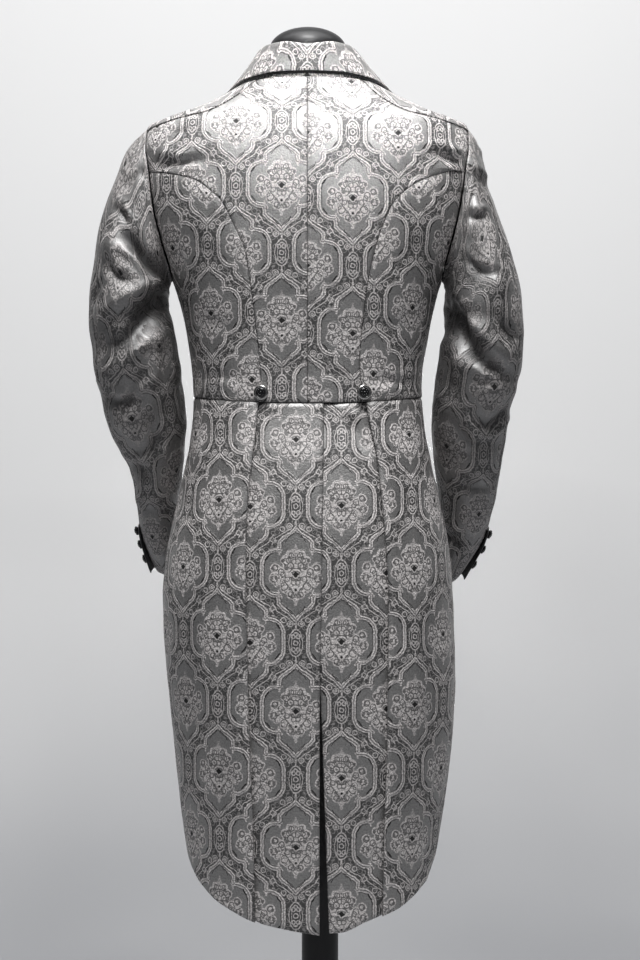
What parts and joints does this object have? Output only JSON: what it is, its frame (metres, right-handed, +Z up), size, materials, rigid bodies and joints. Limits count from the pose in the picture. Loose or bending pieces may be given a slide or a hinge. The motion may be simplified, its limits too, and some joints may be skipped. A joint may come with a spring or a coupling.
{
  "type": "tailcoat on dress form",
  "caption": "Tailcoat of grey and silver woven brocade with a fold-over collar, curved back seams, pleated tails and buttoned cuffs, on a smooth dress form with a pole stand.",
  "frame": {"origin": "centre of the underside of the stand's base, below the centre back seam", "axes": "+Z up, the coat's back faces -Y, the wearer's left is -X"},
  "size_m": [0.5722, 0.38, 1.5627],
  "materials": {
    "brocade": "grey satin ground with a light silver woven pattern, soft sheen",
    "black_velvet": "matt black pile",
    "black_felt": "matt black felt",
    "button_silver": "silver rim round a black patterned face",
    "button_black": "black, soft gloss",
    "form_cover": "tight black cover",
    "black_enamel": "gloss black"
  },
  "bodies": {
    "root": {"back_left": "brocade", "side_back_left": "brocade", "front_left": "brocade", "lapel_left": "brocade", "sleeve_under_left": "brocade", "sleeve_top_left": "brocade", "half_cuff_left": "black_velvet", "tail_back_left": "brocade", "tail_side_left": "brocade", "waist_button_left": "button_silver", "front_button_left": "button_silver", "cuff_button_left_1": "button_black", "cuff_button_left_2": "button_black", "cuff_button_left_3": "button_black", "back_right": "brocade", "side_back_right": "brocade", "front_right": "brocade", "lapel_right": "brocade", "sleeve_under_right": "brocade", "sleeve_top_right": "brocade", "half_cuff_right": "black_velvet", "tail_back_right": "brocade", "tail_side_right": "brocade", "waist_button_right": "button_silver", "front_button_right": "button_silver", "cuff_button_right_1": "button_black", "cuff_button_right_2": "button_black", "cuff_button_right_3": "button_black", "collar": "brocade", "under_collar": "black_felt", "form_torso": "form_cover", "form_neck_cap": "black_enamel", "stand_pole": "black_enamel", "stand_base": "black_enamel"}
  },
  "joints": []
}
